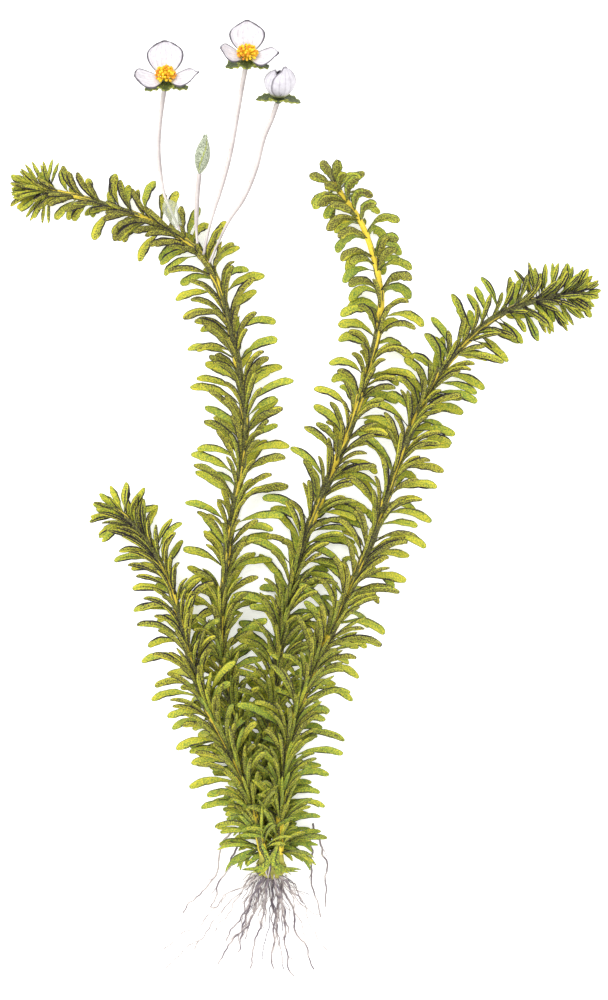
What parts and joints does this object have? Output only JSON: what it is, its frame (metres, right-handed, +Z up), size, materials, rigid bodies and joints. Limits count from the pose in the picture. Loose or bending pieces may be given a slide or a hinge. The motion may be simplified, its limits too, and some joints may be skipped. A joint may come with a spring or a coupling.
{
  "type": "brazilian waterweed",
  "caption": "Uprooted water plant laid flat: leafy whorled shoots fanning out from a rooted crown, with white flowers and a green bud on long pale stalks.",
  "frame": {"origin": "middle of the outline that the plant covers, on the surface it lies on", "axes": "+Z up off the surface, +Y from the roots towards the flowers, +X to the right as seen from above"},
  "size_m": [0.1846, 0.3003, 0.025],
  "materials": {
    "leaf_green": "fresh leaf, semi-matte",
    "crown_tan": "old stem tissue, matt",
    "root_pale": "fine pale root, matt",
    "stalk_pale": "watery pale stalk, semi-gloss",
    "petal_white": "thin white petal, matt",
    "sepal_green": "firm green sepal, matt",
    "stamen_yellow": "pollen, matt",
    "spathe_skin": "thin nearly clear sheath"
  },
  "bodies": {
    "root": {"bud": "sepal_green", "bud_stalk": "stalk_pale", "crown": "crown_tan", "flower_left_petal_back": "petal_white", "flower_left_petal_left": "petal_white", "flower_left_petal_right": "petal_white", "flower_left_sepals": "sepal_green", "flower_left_stamens": "stamen_yellow", "flower_middle_petal_back": "petal_white", "flower_middle_petal_left": "petal_white", "flower_middle_petal_right": "petal_white", "flower_middle_sepals": "sepal_green", "flower_middle_stamens": "stamen_yellow", "flower_right_petal_back": "petal_white", "flower_right_petal_left": "petal_white", "flower_right_petal_right": "petal_white", "flower_right_sepals": "sepal_green", "flower_stalk_left": "stalk_pale", "flower_stalk_middle": "stalk_pale", "flower_stalk_right": "stalk_pale", "root_01": "root_pale", "root_02": "root_pale", "root_03": "root_pale", "root_04": "root_pale", "root_05": "root_pale", "root_06": "root_pale", "root_07": "root_pale", "root_08": "root_pale", "root_09": "root_pale", "root_10": "root_pale", "root_11": "root_pale", "root_12": "root_pale", "root_13": "root_pale", "root_14": "root_pale", "root_15": "root_pale", "root_16": "root_pale", "shoot_left_arching": "leaf_green", "shoot_left_short": "leaf_green", "shoot_middle": "leaf_green", "shoot_right": "leaf_green", "spathe": "spathe_skin"}
  },
  "joints": []
}
